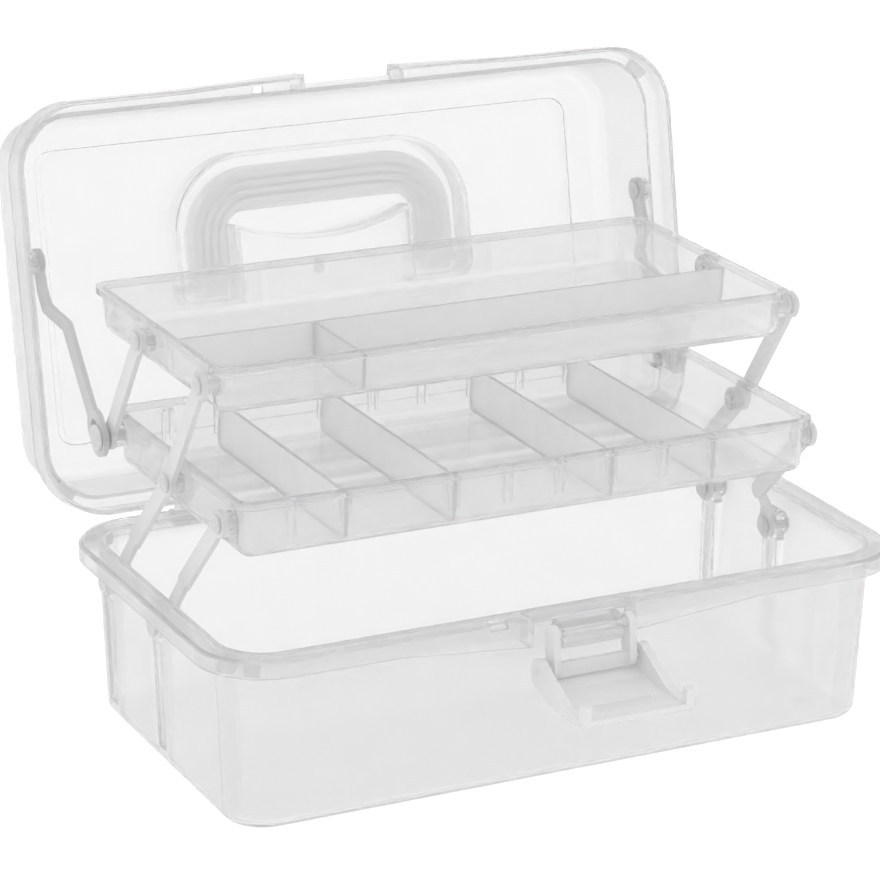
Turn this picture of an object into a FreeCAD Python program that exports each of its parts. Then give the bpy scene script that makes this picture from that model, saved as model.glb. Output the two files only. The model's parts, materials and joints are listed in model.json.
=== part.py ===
import FreeCAD, Part
import math
import os

from FreeCAD import Vector

# Storage box with a hinged lid and two trays on folding arms, in millimetres.
# The frame stands on the middle of the base's underside: +X right, -Y front, +Z up.
# It is modelled open, as it rests; the lid is drawn closed and then turned back.

# Box sizes
BOX_LENGTH = 330.0
BOX_DEPTH = 186.0
BASE_HEIGHT = 80.5
LID_HEIGHT = 58.0
SEAM_GAP = 0.5
OPEN_ANGLE = 101.3

# Shell sizes
WALL = 2.0
FLOOR = 2.2
BASE_DRAFT = 3.5
LID_DRAFT = 4.0
CORNER_RADIUS = 22.0
BASE_FILLET = 5.0
LID_FILLET = 9.0
FLOOR_MARK_RADIUS = 4.0
FLOOR_MARK_DEPTH = 0.6
FLOOR_MARK_INSET = 26.0

# Rims of base and lid
RIM_WIDTH = 10.5
RIM_THICK = 2.2
RIM_CHAMFER = 1.6
SKIRT_HEIGHT = 8.0
SKIRT_THICK = 2.0
WAVE_DROP = 5.5
WAVE_START = 85.0
NOTCH_HALF = 24.0
LID_RIM_WIDTH = 6.4
LID_LIP_DEPTH = 12.2
LID_BULGE = 2.0
LID_NOTCH_CUT = 3.2
KEY_SLOT_X = -40.0
KEY_SLOT_WIDTH = 8.0
KEY_SLOT_DEPTH = 4.5
KEY_WINDOW_X = -42.0
KEY_WINDOW_WIDTH = 5.0

# Raised panel and handle recess in the lid
PANEL_INSET = 24.1
PANEL_END_INSET = 27.2
PANEL_RADIUS = 9.0
PANEL_RAISE = 1.0
RECESS_REAR = 9.0
RECESS_STEP = 1.0
RECESS_REAR_RADIUS = 6.0
TONGUE_SCOOP = 9.0

# Carry handle
HANDLE_HALF = 67.5
HANDLE_LEG_WIDTH = 19.0
HANDLE_GRIP_WIDTH = 20.5
HANDLE_THICK = 10.0
HANDLE_FRONT = -52.0
HANDLE_OUTER_RADIUS = 32.0
HANDLE_INNER_RADIUS = 9.0
HANDLE_SUNK = 1.0
HANDLE_ROUND = 2.5
TRUNNION_RADIUS = 2.5

# Lid hinge
HINGE_BACK = 4.0
HINGE_DROP = 5.2
HINGE_X = 95.0
LID_KNUCKLE = 14.0
BASE_KNUCKLE = 7.0
KNUCKLE_RADIUS = 3.6
HINGE_PIN_RADIUS = 1.5
HINGE_PIN_HEAD = 2.4
HINGE_HEAD_THICK = 1.2

# Trays
TRAY_END_ROOM = 25.7
LOWER_TRAY_ROOM = 42.0
LOWER_TRAY_HEIGHT = 25.5
UPPER_TRAY_ROOM = 45.0
UPPER_TRAY_HEIGHT = 21.0
TRAY_WALL = 1.8
TRAY_DRAFT = 1.6
TRAY_RADIUS = 8.0
TRAY_FILLET = 5.0
BEAD_WIDTH = 2.0
BEAD_HEIGHT = 3.0

# Dividers and the slots that hold them
DIVIDER_THICK = 1.8
DIVIDER_DROP = 2.5
SLOT_SPACES = 11
SLOT_NUMBERS = (-4.5, -3.5, -1.5, -0.5, 0.5, 1.5, 2.5, 3.5)
LOWER_DIVIDER_SLOTS = (-3.5, -1.5, 1.5, 3.5)
RIB_THICK = 1.2
RIB_REACH = 4.0
RIB_FOOT = 0.8
RIB_FOOT_RISE = 3.0
LONG_DIVIDER_FROM_FRONT = 55.0

# Folding arms: the base pivots and the links' rise and lean in the open pose
BASE_PIVOT_FROM_BACK = 34.5
BASE_PIVOT_SHARE = 7 / 18
BASE_PIVOT_DROP = 16.5
LOWER_LINK_LEAN = 39.0
LOWER_LINK_RISE = 57.5
UPPER_LINK_LEAN = 36.5
UPPER_LINK_RISE = 54.5
TRAY_PIVOT_SHARE = 15 / 32
LOWER_PIVOT_DROP = 11.0
UPPER_PIVOT_DROP = 8.0
LOWER_PIVOT_FROM_FRONT = 13.0
UPPER_PIVOT_FROM_FRONT = 9.0
ARM_WIDTH = 8.0
ARM_EYE = 6.0
ARM_THICK = 2.5
ARM_JOG = 5.0
ARM_JOG_START = 9.0
ARM_JOG_END = 18.0

# Lid arm: its stud on the lid in the open pose, and the free eye's slot on the tray
LID_STUD_BACK = 46.0
LID_STUD_RISE = 112.7
LID_ARM_ELBOW_BACK = 5.0
LID_ARM_ELBOW_DROP = 12.0
LID_JOG_START = 9.0
LID_JOG_RUN = 10.0
LID_BOSS = 2.8
SLOT_RUN = 5.5
SLOT_SWAY = 2.4
SLOT_EYE = 8.2

# Pivot pins
PIN_RADIUS = 2.2
PIN_HEAD_RADIUS = 4.2
SLOT_HEAD_RADIUS = 6.0
PIN_HEAD_THICK = 1.2
LID_PIN_HEAD = 0.7
PIN_BOSS_RADIUS = 5.3
PIN_TIP = 0.5
COLUMN_WIDTH = 11.0
COLUMN_ABOVE_PIVOT = 7.0
COLUMN_WALL = 1.8
OUTER_BOSS_RAISE = 1.4

# Latch
LATCH_BLOCK_HALF = 14.5
LATCH_BLOCK_FRONT = 8.0
LATCH_BLOCK_DROP = 12.5
LATCH_PIVOT_DROP = 6.5
LATCH_PIVOT_BEHIND = 2.5
LATCH_LINK_LENGTH = 15.0
LATCH_LINK_TILT = 6.0
LATCH_LINK_THICK = 3.2
LATCH_LINK_GAP = 2.0
LATCH_LINK_WIDTH = 8.0
LATCH_STUD_RADIUS = 1.5
LATCH_WEB_DROP = 4.0
LATCH_WEB_RISE = 2.5
LEVER_HALF = 26.2
LEVER_CHEEK = 3.8
LEVER_DROOP = 7.0
LEVER_HEEL_RADIUS = 5.3
LEVER_BELLY = ((-3.0, -6.5), (7.0, -9.0), (24.0, -8.0), (42.0, -4.4))
LEVER_PLATE_THICK = 2.2
LEVER_HOOK_FROM = 37.7
LEVER_HOOK_TO = 41.7
LEVER_HOOK_RISE = 4.5
LEVER_WAIST_AT = 25.0
LEVER_WAIST = -3.2
GRIP_RIDGE_COUNT = 3
GRIP_RIDGE_FROM = 27.0
GRIP_RIDGE_PITCH = 3.2
GRIP_RIDGE_HALF = 14.0
GRIP_RIDGE_HEIGHT = 1.2

# Clearances
RUNNING_FIT = 0.08
SEAT_FIT = 0.03
SIDE_GAP = 0.3
TRAY_TO_ARM = 1.7
HANDLE_GAP = 2.0
HANDLE_SIDE_GAP = 6.0
HANDLE_FRONT_GAP = 5.0
HANDLE_UNDER_GAP = 1.5
HANDLE_CORNER_GAP = 2.0
TONGUE_SIDE_GAP = 3.0
TONGUE_FRONT_GAP = 5.5
SLOT_CLEARANCE = 0.35
OVERCUT = 1.0

# Places worked out from the sizes
half_length = BOX_LENGTH / 2
half_depth = BOX_DEPTH / 2
wall_x = half_length - RIM_WIDTH + WALL
wall_y = half_depth - RIM_WIDTH + WALL
rim_radius = CORNER_RADIUS + RIM_WIDTH - WALL
lid_wall_x = half_length - LID_RIM_WIDTH + WALL
lid_wall_y = half_depth - LID_RIM_WIDTH + WALL
lid_corner = rim_radius - LID_RIM_WIDTH + WALL
lid_edge = BASE_HEIGHT + SEAM_GAP
lid_flange = lid_edge + LID_LIP_DEPTH
lid_shoulder = lid_edge + LID_HEIGHT - PANEL_RAISE
lid_top = lid_edge + LID_HEIGHT
hinge_y = half_depth + HINGE_BACK
hinge_z = BASE_HEIGHT - HINGE_DROP

recess_half = HANDLE_HALF + HANDLE_SIDE_GAP
recess_front = HANDLE_FRONT - HANDLE_FRONT_GAP
recess_depth = HANDLE_SUNK + HANDLE_THICK + HANDLE_UNDER_GAP
recess_front_radius = HANDLE_OUTER_RADIUS + HANDLE_CORNER_GAP
tongue_half = HANDLE_HALF - HANDLE_LEG_WIDTH - TONGUE_SIDE_GAP
tongue_front = HANDLE_FRONT + HANDLE_GRIP_WIDTH + TONGUE_FRONT_GAP

tray_half = half_length - TRAY_END_ROOM
slot_pitch = 2 * tray_half / SLOT_SPACES
cross_divider_x = -tray_half / 2
lower_depth = BOX_DEPTH - LOWER_TRAY_ROOM
upper_depth = BOX_DEPTH - UPPER_TRAY_ROOM
arm_inner = tray_half + TRAY_TO_ARM
arm_outer = arm_inner + ARM_THICK
lid_arm_inner = arm_outer + PIN_HEAD_THICK + 2 * SIDE_GAP
lid_arm_outer = lid_arm_inner + ARM_THICK
column_face = arm_outer + ARM_JOG + SIDE_GAP

base_rear = Vector(0, half_depth - BASE_PIVOT_FROM_BACK, BASE_HEIGHT - BASE_PIVOT_DROP)
base_front = base_rear - Vector(0, BASE_PIVOT_SHARE * lower_depth, 0)
lower_link = Vector(0, -LOWER_LINK_LEAN, LOWER_LINK_RISE)
upper_link = Vector(0, -UPPER_LINK_LEAN, UPPER_LINK_RISE)
lower_middle = base_rear + lower_link
lower_front = base_front + lower_link
lower_rear = lower_middle + Vector(0, TRAY_PIVOT_SHARE * lower_depth, 0)
upper_front = lower_middle + upper_link
upper_rear = lower_rear + upper_link
hinge_point = Vector(0, hinge_y, hinge_z)
lid_stud = hinge_point + Vector(0, LID_STUD_BACK, LID_STUD_RISE)

latch_pivot = Vector(
    0, -half_depth - LATCH_BLOCK_FRONT + LATCH_PIVOT_BEHIND, BASE_HEIGHT - LATCH_PIVOT_DROP)
link_inner = LATCH_BLOCK_HALF + LATCH_LINK_GAP
link_outer = link_inner + LATCH_LINK_THICK
cheek_inner = LEVER_HALF - LEVER_CHEEK
X_AXIS = Vector(1, 0, 0)
SIDES = {"left": -1, "right": 1}


class TraySizes:
    """Outer rim, depth and floor of one tray in the open pose."""

    def __init__(self, front, depth, rim, height):
        self.front = front
        self.rear = front + depth
        self.middle = front + depth / 2
        self.half_y = depth / 2
        self.rim = rim
        self.bottom = rim - height
        self.floor = rim - height + TRAY_WALL

    def section(self, z, inset):
        """Wall outline at a height: half sizes, corner radius and height."""
        lean = TRAY_DRAFT * (self.rim - z) / (self.rim - self.bottom)
        shrink = BEAD_WIDTH + lean + inset
        return (tray_half - shrink, self.half_y - shrink, TRAY_RADIUS - shrink + BEAD_WIDTH, z)


lower_edge = lower_front + Vector(0, -LOWER_PIVOT_FROM_FRONT, LOWER_PIVOT_DROP)
upper_edge = upper_front + Vector(0, -UPPER_PIVOT_FROM_FRONT, UPPER_PIVOT_DROP)
lower = TraySizes(lower_edge.y, lower_depth, lower_edge.z, LOWER_TRAY_HEIGHT)
upper = TraySizes(upper_edge.y, upper_depth, upper_edge.z, UPPER_TRAY_HEIGHT)


def rounded_wire(half_x, half_y, radius, z, middle_y=0.0):
    """Closed wire of a rectangle with round corners at one height."""
    flat_x = half_x - radius
    flat_y = half_y - radius
    reach = radius * math.sqrt(0.5)
    edges = []
    ends = []
    for side_x, side_y in ((1, 1), (-1, 1), (-1, -1), (1, -1)):
        centre = Vector(side_x * flat_x, middle_y + side_y * flat_y, z)
        along_x = centre + Vector(side_x * radius, 0, 0)
        along_y = centre + Vector(0, side_y * radius, 0)
        middle = centre + Vector(side_x * reach, side_y * reach, 0)
        start, end = (along_x, along_y) if side_x == side_y else (along_y, along_x)
        edges.append(Part.Arc(start, middle, end).toShape())
        ends.append((start, end))
    outline = []
    for index, arc in enumerate(edges):
        outline.append(arc)
        following = ends[(index + 1) % len(ends)][0]
        outline.append(Part.makeLine(ends[index][1], following))
    return Part.Wire(outline)


def tapered_block(low, high, middle_y=0.0):
    """Solid between two rounded outlines, each given as half sizes, radius and height."""
    return Part.makeLoft([rounded_wire(*low, middle_y), rounded_wire(*high, middle_y)], True, True)


def straight_block(half_x, half_y, radius, low, high, middle_y=0.0):
    """Rounded rectangle raised straight up."""
    face = Part.Face(rounded_wire(half_x, half_y, radius, low, middle_y))
    return face.extrude(Vector(0, 0, high - low))


def round_edges_at(solid, z, radius):
    """Fillet the edges that lie flat at one height."""
    flat = [e for e in solid.Edges if abs(e.BoundBox.ZMin - z) < 1e-4 and abs(e.BoundBox.ZMax - z) < 1e-4]
    return solid.makeFillet(radius, flat)


def box_between(x, y, z):
    """Box from pairs of low and high coordinates, in either order."""
    low = Vector(min(x), min(y), min(z))
    return Part.makeBox(abs(x[1] - x[0]), abs(y[1] - y[0]), abs(z[1] - z[0]), low)


def rod(point, radius, x_from, x_to):
    """Round bar along X through a point in the Y-Z plane."""
    start = Vector(min(x_from, x_to), point.y, point.z)
    return Part.makeCylinder(radius, abs(x_to - x_from), start, X_AXIS)


def plate_from(points, x_from, x_to):
    """Plate with a Y-Z outline, from one X to another."""
    low = min(x_from, x_to)
    corners = [Vector(low, y, z) for y, z in points]
    face = Part.Face(Part.makePolygon(corners + corners[:1]))
    return face.extrude(Vector(abs(x_to - x_from), 0, 0))


def wave_plate(y_from, y_to, z_edge, drop):
    """Pair of wedges that deepen the front skirt towards the latch notch."""
    wedges = []
    for side in (-1, 1):
        corners = [
            Vector(side * WAVE_START, y_from, z_edge),
            Vector(side * NOTCH_HALF, y_from, z_edge),
            Vector(side * NOTCH_HALF, y_from, z_edge + drop),
        ]
        face = Part.Face(Part.makePolygon(corners + corners[:1]))
        wedges.append(face.extrude(Vector(0, y_to - y_from, 0)))
    return wedges


def base_section(z, inset):
    """Base wall outline at a height."""
    shrink = BASE_DRAFT * (1 - z / BASE_HEIGHT) + inset
    return (wall_x - shrink, wall_y - shrink, CORNER_RADIUS - shrink, z)


def lid_section(z, inset):
    """Lid wall outline at a height, with the lid closed."""
    shrink = LID_DRAFT * (z - lid_edge) / (lid_shoulder - lid_edge) + inset
    return (lid_wall_x - shrink, lid_wall_y - shrink, lid_corner - shrink, z)


def make_base_rim():
    """Base's rim: a flange at the top with a skirt that hangs from it, cut away at the latch."""
    chamfered = BASE_HEIGHT - RIM_CHAMFER
    skirt_end = BASE_HEIGHT - SKIRT_HEIGHT
    full = (half_length, half_depth, rim_radius)
    trimmed = tuple(size - RIM_CHAMFER for size in full)
    rim = tapered_block(full + (chamfered,), trimmed + (BASE_HEIGHT,))
    rim = rim.fuse(straight_block(*full, skirt_end, chamfered))
    hollow = tuple(size - SKIRT_THICK for size in full)
    under = BASE_HEIGHT - RIM_THICK
    past = skirt_end - OVERCUT
    rim = rim.cut(straight_block(*hollow, past, under))
    front = (-half_depth, -half_depth + SKIRT_THICK)
    rim = rim.fuse(wave_plate(*front, skirt_end, -WAVE_DROP))
    past_front = (front[0] - OVERCUT, front[1] + OVERCUT)
    rim = rim.cut(box_between((-NOTCH_HALF, NOTCH_HALF), past_front, (under, past)))
    returns = []
    for side in (-1, 1):
        x = (side * NOTCH_HALF, side * (NOTCH_HALF + SKIRT_THICK))
        y = (-half_depth, -wall_y + WALL / 2)
        returns.append(box_between(x, y, (chamfered, skirt_end - WAVE_DROP)))
    return rim.fuse(returns)


def front_bulge(y, low, high):
    """Pair of wedges by which the lid's front swells towards the latch notch."""
    wedges = []
    for side in (-1, 1):
        corners = [
            Vector(side * WAVE_START, y, low),
            Vector(side * NOTCH_HALF, y, low),
            Vector(side * NOTCH_HALF, y - LID_BULGE, low),
        ]
        face = Part.Face(Part.makePolygon(corners + corners[:1]))
        wedges.append(face.extrude(Vector(0, 0, high - low)))
    return wedges


def make_lid_rim():
    """Lid's rim as a solid block: skirt and flange before the mouth is cut from it."""
    full = (half_length, half_depth, rim_radius)
    trimmed = tuple(size - RIM_CHAMFER for size in full)
    top = lid_flange + RIM_THICK
    chamfered = top - RIM_CHAMFER
    rim = straight_block(*full, lid_edge, chamfered)
    rim = rim.fuse(tapered_block(full + (chamfered,), trimmed + (top,)))
    return rim.fuse(front_bulge(-half_depth, lid_edge, chamfered))


def lid_mouth():
    """Mouth of the lid's rim: what the skirt encloses between the mating edge and the flange."""
    hollow = (half_length - SKIRT_THICK, half_depth - SKIRT_THICK, rim_radius - SKIRT_THICK)
    low = lid_edge - OVERCUT
    mouth = straight_block(*hollow, low, lid_flange)
    return mouth.fuse(front_bulge(-half_depth + SKIRT_THICK, low, lid_flange))


def lid_returns():
    """Ends of the lid's skirt at the latch notch, from the skirt back to the wall."""
    returns = []
    wall = lid_section(lid_flange, WALL / 2)[1]
    for side in (-1, 1):
        x = (side * NOTCH_HALF, side * (NOTCH_HALF + SKIRT_THICK))
        y = (-half_depth - LID_BULGE / 2, -wall)
        returns.append(box_between(x, y, (lid_edge, lid_flange + RIM_THICK / 2)))
    return returns


def base_key_slot():
    """Slot in the outer edge of the base's front rim, beside the latch."""
    x = (KEY_SLOT_X - KEY_SLOT_WIDTH / 2, KEY_SLOT_X + KEY_SLOT_WIDTH / 2)
    y = (-half_depth - OVERCUT, -half_depth + KEY_SLOT_DEPTH)
    return box_between(x, y, (BASE_HEIGHT - RIM_THICK - OVERCUT, BASE_HEIGHT + OVERCUT))


def lid_front_cuts():
    """Cut-back of the lid's rim above the latch, and the window that faces the base's slot."""
    notch_y = (-half_depth - LID_BULGE - OVERCUT, -half_depth + LID_NOTCH_CUT)
    notch_z = (lid_edge - OVERCUT, lid_flange + RIM_THICK + OVERCUT)
    notch = box_between((-NOTCH_HALF, NOTCH_HALF), notch_y, notch_z)
    window_x = (KEY_WINDOW_X - KEY_WINDOW_WIDTH / 2, KEY_WINDOW_X + KEY_WINDOW_WIDTH / 2)
    window_y = (-half_depth + SKIRT_THICK + SIDE_GAP, -lid_section(lid_flange, WALL / 2)[1])
    window_z = (lid_flange - OVERCUT, lid_flange + RIM_THICK + OVERCUT)
    return [notch, box_between(window_x, window_y, window_z)]


def make_columns(shell):
    """Hollow columns inside the end walls, one at each base pivot, with a boss outside."""
    columns = []
    for side in SIDES.values():
        for pivot in (base_rear, base_front):
            y = (pivot.y - COLUMN_WIDTH / 2, pivot.y + COLUMN_WIDTH / 2)
            z = (FLOOR / 2, pivot.z + COLUMN_ABOVE_PIVOT)
            block = box_between((side * column_face, side * half_length), y, z).common(shell)
            columns.append(block)
            outside = base_section(pivot.z, 0)[0] + OUTER_BOSS_RAISE
            columns.append(rod(pivot, PIN_BOSS_RADIUS, side * column_face, side * outside))
    return columns


def make_column_hollows():
    """Grooves that hollow the columns out from outside, and the holes for the base pins."""
    hollows = []
    for side in SIDES.values():
        for pivot in (base_rear, base_front):
            y = (pivot.y - COLUMN_WIDTH / 2 + COLUMN_WALL, pivot.y + COLUMN_WIDTH / 2 - COLUMN_WALL)
            z = (FLOOR + BASE_FILLET, pivot.z - PIN_BOSS_RADIUS - COLUMN_WALL)
            x = (side * (column_face + COLUMN_WALL), side * half_length)
            hollows.append(box_between(x, y, z))
            inside = side * (column_face - OVERCUT)
            hollows.append(rod(pivot, PIN_RADIUS + SEAT_FIT, inside, side * half_length))
    return hollows


def make_latch_block():
    """Block under the front rim that carries the latch link, hollow at the back."""
    front = -half_depth - LATCH_BLOCK_FRONT
    back = -half_depth + SKIRT_THICK
    bottom = BASE_HEIGHT - LATCH_BLOCK_DROP
    top = BASE_HEIGHT - RIM_THICK + SIDE_GAP
    slope = (top - latch_pivot.z) / 2
    outline = [
        (back, bottom),
        (front, bottom),
        (front, top - slope),
        (front + 2 * slope, top),
        (back, top),
    ]
    block = plate_from(outline, -LATCH_BLOCK_HALF, LATCH_BLOCK_HALF)
    inside_x = (-LATCH_BLOCK_HALF + WALL, LATCH_BLOCK_HALF - WALL)
    inside_y = (front + WALL, back + OVERCUT)
    inside_z = (bottom + WALL, top - slope - WALL / 2)
    block = block.cut(box_between(inside_x, inside_y, inside_z))
    hole = rod(latch_pivot, LATCH_STUD_RADIUS + RUNNING_FIT, -link_inner, link_inner)
    return block.cut(hole)


def make_base_knuckles():
    """Hinge knuckles on the back of the base, two beside each lid knuckle."""
    knuckles = []
    foot = half_depth - SKIRT_THICK / 2
    outline = [
        (foot, BASE_HEIGHT - SKIRT_HEIGHT),
        (hinge_y, hinge_z - KNUCKLE_RADIUS),
        (hinge_y, hinge_z + KNUCKLE_RADIUS),
        (foot, BASE_HEIGHT - RIM_CHAMFER),
    ]
    for middle in (-HINGE_X, HINGE_X):
        for side in (-1, 1):
            near = middle + side * (LID_KNUCKLE / 2 + SIDE_GAP)
            far = near + side * BASE_KNUCKLE
            knuckles.append(plate_from(outline, near, far))
            knuckles.append(rod(hinge_point, KNUCKLE_RADIUS, near, far))
    return knuckles


def hinge_bores(clearance):
    """Bores for the hinge pins."""
    reach = LID_KNUCKLE / 2 + SIDE_GAP + BASE_KNUCKLE + OVERCUT
    radius = HINGE_PIN_RADIUS + clearance
    return [rod(hinge_point, radius, middle - reach, middle + reach) for middle in (-HINGE_X, HINGE_X)]


def floor_marks():
    """Shallow round marks in the floor's corners."""
    marks = []
    for side_x in (-1, 1):
        for side_y in (-1, 1):
            x = side_x * (wall_x - FLOOR_MARK_INSET)
            y = side_y * (wall_y - FLOOR_MARK_INSET)
            place = Vector(x, y, FLOOR - FLOOR_MARK_DEPTH)
            marks.append(Part.makeCylinder(FLOOR_MARK_RADIUS, FLOOR_MARK_DEPTH + OVERCUT, place))
    return marks


def make_base():
    """Base bin: drafted shell, rim, columns, latch block and hinge knuckles in one moulding."""
    shell = round_edges_at(tapered_block(base_section(0, 0), base_section(BASE_HEIGHT, 0)), 0, BASE_FILLET)
    cavity = tapered_block(base_section(FLOOR, WALL), base_section(BASE_HEIGHT + OVERCUT, WALL))
    cavity = round_edges_at(cavity, FLOOR, BASE_FILLET - WALL)
    base = shell.fuse(make_base_rim()).cut(cavity)
    base = base.fuse(make_columns(shell)).cut(make_column_hollows())
    base = base.fuse([make_latch_block()] + make_base_knuckles())
    return base.cut(hinge_bores(SEAT_FIT) + floor_marks() + [base_key_slot()]).removeSplitter()


def recess_outline(grow):
    """Arched outline of the handle recess, grown outwards by a wall or by nothing."""
    half = recess_half + grow
    front = recess_front - grow
    rear = RECESS_REAR + grow
    front_radius = recess_front_radius + grow
    rear_radius = RECESS_REAR_RADIUS + grow
    bend = math.sqrt(0.5)
    edges = []
    for side in (1, -1):
        front_centre = Vector(side * (half - front_radius), front + front_radius, 0)
        rear_centre = Vector(side * (half - rear_radius), rear - rear_radius, 0)
        front_low = front_centre + Vector(0, -front_radius, 0)
        front_side = front_centre + Vector(side * front_radius, 0, 0)
        front_mid = front_centre + Vector(side * bend * front_radius, -bend * front_radius, 0)
        rear_side = rear_centre + Vector(side * rear_radius, 0, 0)
        rear_high = rear_centre + Vector(0, rear_radius, 0)
        rear_mid = rear_centre + Vector(side * bend * rear_radius, bend * rear_radius, 0)
        run = [
            Part.Arc(front_low, front_mid, front_side).toShape(),
            Part.makeLine(front_side, rear_side),
            Part.Arc(rear_side, rear_mid, rear_high).toShape(),
        ]
        edges.append((run, front_low, rear_high))
    right, right_front, right_rear = edges[0]
    left, left_front, left_rear = edges[1]
    joins = [Part.makeLine(right_rear, left_rear), Part.makeLine(left_front, right_front)]
    return Part.Face(Part.Wire(Part.__sortEdges__(right + left + joins)))


def tongue_face(shrink):
    """Flat tongue between the handle's legs, with a scooped front edge."""
    half = tongue_half - shrink
    front = tongue_front + shrink
    rear = RECESS_REAR + WALL + OVERCUT
    left_front = Vector(-half, front, 0)
    right_front = Vector(half, front, 0)
    scoop = Part.Arc(left_front, Vector(0, front + TONGUE_SCOOP, 0), right_front).toShape()
    right_rear = Vector(half, rear, 0)
    left_rear = Vector(-half, rear, 0)
    sides = [
        Part.makeLine(right_front, right_rear),
        Part.makeLine(right_rear, left_rear),
        Part.makeLine(left_rear, left_front),
    ]
    return Part.Face(Part.Wire([scoop] + sides))


def recess_block(grow, low, high):
    """Solid of the recess, or of its walls' outside, between two heights."""
    face = recess_outline(grow).cut(tongue_face(grow))
    face.translate(Vector(0, 0, low))
    return face.extrude(Vector(0, 0, high - low))


def handle_pivot():
    """Pivot of the carry handle, with the lid closed."""
    return Vector(0, RECESS_REAR - HANDLE_GAP - HANDLE_THICK / 2, lid_top - HANDLE_SUNK - HANDLE_THICK / 2)


def make_lid_knuckles():
    """Hinge knuckles on the back of the closed lid."""
    foot = half_depth - SKIRT_THICK / 2
    clear = hinge_y - KNUCKLE_RADIUS
    outline = [
        (clear, hinge_z),
        (clear, lid_edge),
        (foot, lid_edge + SIDE_GAP),
        (foot, lid_edge + SKIRT_HEIGHT),
        (hinge_y, lid_edge + SKIRT_HEIGHT),
        (hinge_y + KNUCKLE_RADIUS, lid_edge),
        (hinge_y + KNUCKLE_RADIUS, hinge_z),
    ]
    knuckles = []
    for middle in (-HINGE_X, HINGE_X):
        ends = (middle - LID_KNUCKLE / 2, middle + LID_KNUCKLE / 2)
        knuckles.append(plate_from(outline, *ends))
        knuckles.append(rod(hinge_point, KNUCKLE_RADIUS, *ends))
    return knuckles


def closed(point):
    """Where a point of the open lid lies when the lid is closed."""
    turn = FreeCAD.Rotation(X_AXIS, OPEN_ANGLE)
    return hinge_point + turn.multVec(point - hinge_point)


def opened(shape):
    """Turn a shape from the closed lid's place to the open pose."""
    turned = shape.copy()
    turned.rotate(hinge_point, X_AXIS, -OPEN_ANGLE)
    return turned


def lid_pin_seat():
    """Depth of the lid pins' holes: the inside of the lid's end wall."""
    return lid_section(closed(lid_stud).z, WALL)[0]


def lid_eye_plane():
    """Inner and outer X of the lid arms' upper ends, a boss's length inside the lid's end walls."""
    outer = lid_pin_seat() - LID_BOSS
    return (outer - ARM_THICK, outer)


def make_lid():
    """Lid shell: drafted walls, raised panel, handle recess, rim, knuckles and arm bosses."""
    shell = tapered_block(lid_section(lid_edge, 0), lid_section(lid_shoulder, 0))
    shell = round_edges_at(shell, lid_shoulder, LID_FILLET)
    panel_x = half_length - PANEL_END_INSET
    panel_y = half_depth - PANEL_INSET
    panel = (panel_x, panel_y, PANEL_RADIUS)
    panel_end = tuple(size - PANEL_RAISE for size in panel)
    shell = shell.fuse(tapered_block(panel + (lid_shoulder - OVERCUT,), panel_end + (lid_top,)))
    shell = shell.fuse(make_lid_rim())
    inner_top = lid_shoulder - WALL
    cavity = tapered_block(lid_section(lid_edge - OVERCUT, WALL), lid_section(inner_top, WALL))
    cavity = round_edges_at(cavity, inner_top, LID_FILLET - WALL)
    pocket = tuple(size - WALL for size in panel_end)
    cavity = cavity.fuse(straight_block(*pocket, inner_top - OVERCUT, lid_top - WALL))
    lid = shell.cut([cavity, lid_mouth()]).fuse(lid_returns())
    recess_floor = lid_top - recess_depth
    lid = lid.fuse(recess_block(WALL, recess_floor - WALL, lid_top - WALL / 2))
    lid = lid.cut(recess_block(0, recess_floor, lid_top + OVERCUT))
    step = recess_block(WALL / 2, recess_floor - WALL / 2, recess_floor + RECESS_STEP)
    ahead = box_between((-half_length, half_length), (-half_depth, tongue_front), (0, lid_top))
    between = box_between((-tongue_half, tongue_half), (-half_depth, RECESS_REAR), (0, lid_top))
    lid = lid.fuse(step.common(ahead.fuse(between)))
    stud = closed(lid_stud)
    eye_inner, eye_outer = lid_eye_plane()
    bosses = []
    for side in SIDES.values():
        wall_at = lid_section(stud.z, WALL / 2)[0]
        bosses.append(rod(stud, PIN_BOSS_RADIUS, side * (eye_outer + SIDE_GAP), side * wall_at))
    lid = lid.fuse(make_lid_knuckles() + bosses)
    holes = hinge_bores(RUNNING_FIT) + lid_front_cuts()
    pivot = handle_pivot()
    outside = recess_half + WALL + OVERCUT
    for side in SIDES.values():
        inside = side * (recess_half - OVERCUT)
        holes.append(rod(pivot, TRUNNION_RADIUS + RUNNING_FIT, inside, side * outside))
        holes.append(rod(stud, PIN_RADIUS + SEAT_FIT, side * eye_inner, side * lid_pin_seat()))
    return opened(lid.cut(holes).removeSplitter())


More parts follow.
